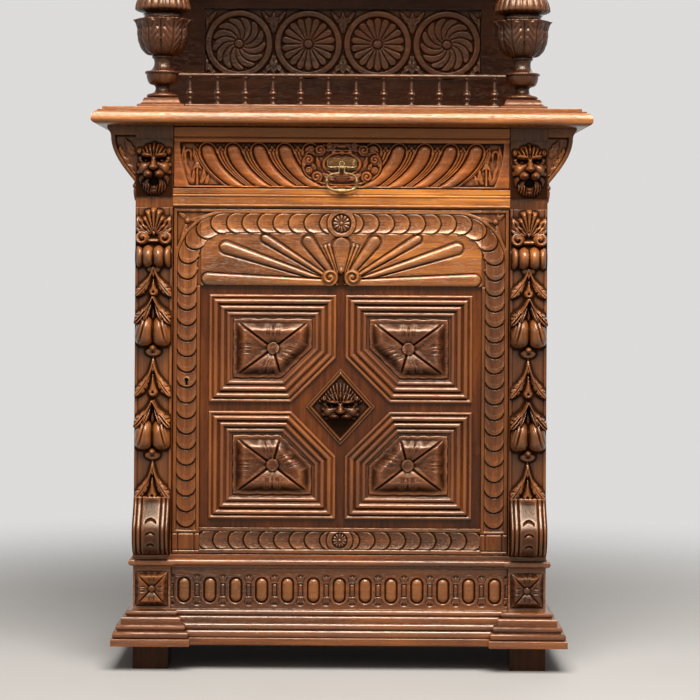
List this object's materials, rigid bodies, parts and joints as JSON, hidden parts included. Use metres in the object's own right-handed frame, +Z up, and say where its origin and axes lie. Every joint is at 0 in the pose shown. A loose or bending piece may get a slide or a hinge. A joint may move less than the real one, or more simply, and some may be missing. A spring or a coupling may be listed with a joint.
{
  "type": "buffet",
  "caption": "Carved oak buffet: hinged cupboard door, drawer with a bail pull, and an open niche with turned columns under a moulded canopy.",
  "frame": {"origin": "middle of the bounding box at floor level", "axes": "+Z up, front towards -Y, +X to the viewer's right"},
  "size_m": [0.926, 0.48, 1.6374],
  "materials": {
    "waxed_oak": "waxed dark oak",
    "shaded_oak": "dark oak of the backs",
    "inner_oak": "bare oak of shelf, runners and drawer box",
    "aged_brass": "dulled cast brass",
    "lock_iron": "dark iron of the lock"
  },
  "bodies": {
    "cabinet": {"back_frame": "shaded_oak", "back_panel": "shaded_oak", "bottom_board": "waxed_oak", "canopy_cornice": "waxed_oak", "canopy_frieze": "waxed_oak", "canopy_soffit": "waxed_oak", "column_left": "waxed_oak", "column_right": "waxed_oak", "drawer_rail": "waxed_oak", "drawer_runner_left": "inner_oak", "drawer_runner_right": "inner_oak", "foot_front_left": "waxed_oak", "foot_front_right": "waxed_oak", "foot_rear_left": "waxed_oak", "foot_rear_right": "waxed_oak", "front_post_left": "waxed_oak", "front_post_right": "waxed_oak", "fruit_drop_left": "waxed_oak", "fruit_drop_right": "waxed_oak", "gallery": "waxed_oak", "hinge_pin_lower": "aged_brass", "hinge_pin_upper": "aged_brass", "lion_mask_left": "waxed_oak", "lion_mask_right": "waxed_oak", "niche_panel": "shaded_oak", "plinth_block_left": "waxed_oak", "plinth_block_right": "waxed_oak", "plinth_rail_back": "shaded_oak", "plinth_rail_front": "waxed_oak", "plinth_side_left": "waxed_oak", "plinth_side_right": "waxed_oak", "rear_post_left": "waxed_oak", "rear_post_right": "waxed_oak", "rosette_panel": "shaded_oak", "shelf": "inner_oak", "side_bracket_left": "waxed_oak", "side_bracket_right": "waxed_oak", "side_panel_left": "waxed_oak", "side_panel_right": "waxed_oak", "top_board": "waxed_oak"},
    "door": {"door_field": "waxed_oak", "door_lozenge": "waxed_oak", "door_panel_lower_left": "waxed_oak", "door_panel_lower_right": "waxed_oak", "door_panel_upper_left": "waxed_oak", "door_panel_upper_right": "waxed_oak", "door_rail_bottom": "waxed_oak", "door_rail_top": "waxed_oak", "door_stile_hinge": "waxed_oak", "door_stile_lock": "waxed_oak", "keyhole_liner": "aged_brass", "lock_case": "lock_iron"},
    "bolt": {"lock_bolt": "lock_iron"},
    "drawer": {"drawer_front": "waxed_oak", "drawer_side_left": "inner_oak", "drawer_side_right": "inner_oak", "drawer_back": "inner_oak", "drawer_bottom": "inner_oak", "drawer_pull_plate": "aged_brass"},
    "bail": {"drawer_pull_bail": "aged_brass"}
  },
  "joints": [
    {"name": "door_hinge", "type": "hinge", "parent": "cabinet", "child": "door", "pos_m": [0.293, -0.172, 0.2155], "axis": [0, 0, 1], "range_deg": [0, 100]},
    {"name": "drawer_slide", "type": "slide", "parent": "cabinet", "child": "drawer", "axis": [0, -1, 0], "range_m": [0, 0.3]},
    {"name": "bail_swing", "type": "hinge", "parent": "drawer", "child": "bail", "pos_m": [0, -0.1903, 0.9373], "axis": [-1, 0, 0], "range_deg": [0, 85]},
    {"name": "bolt_slide", "type": "slide", "parent": "door", "child": "bolt", "axis": [-1, 0, 0], "range_m": [0, 0.008]}
  ]
}
